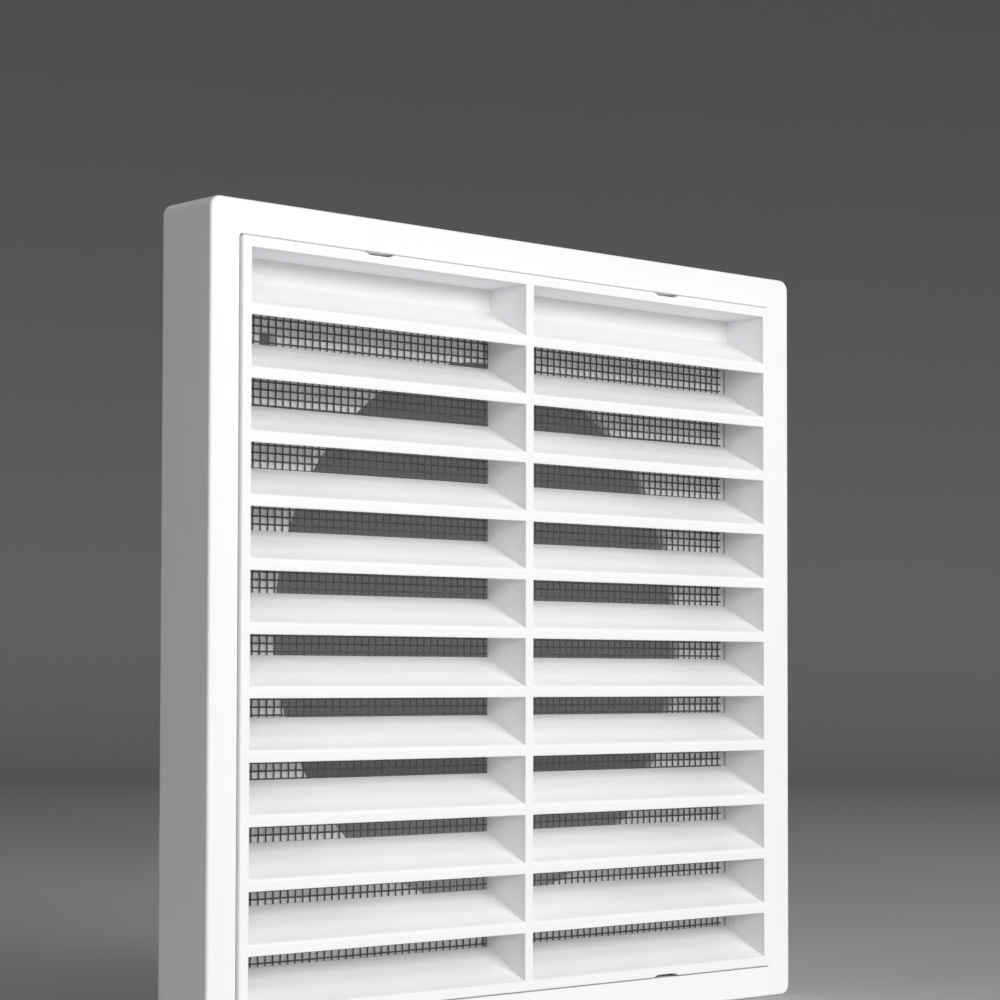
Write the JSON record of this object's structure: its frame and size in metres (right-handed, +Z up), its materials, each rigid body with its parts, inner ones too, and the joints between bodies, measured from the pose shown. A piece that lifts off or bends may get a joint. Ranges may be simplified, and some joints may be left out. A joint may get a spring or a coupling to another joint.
{
  "type": "louvred wall vent",
  "caption": "Square white louvred wall vent for a round duct: a moulded surround with a snap-in louvre insert and a fly screen behind the slats.",
  "frame": {"origin": "centre of the lower edge's footprint: mid width, mid depth, on the surface that the vent stands on", "axes": "+X to the right and +Z up when facing the louvres, which face -Y; +Y points into the wall"},
  "size_m": [0.14, 0.014, 0.14],
  "materials": {
    "white_plastic": "satin moulded",
    "screen_fibre": "matt coated strands"
  },
  "bodies": {
    "root": {"surround_housing": "white_plastic", "louvre_insert": "white_plastic", "fly_screen": "screen_fibre"}
  },
  "joints": []
}
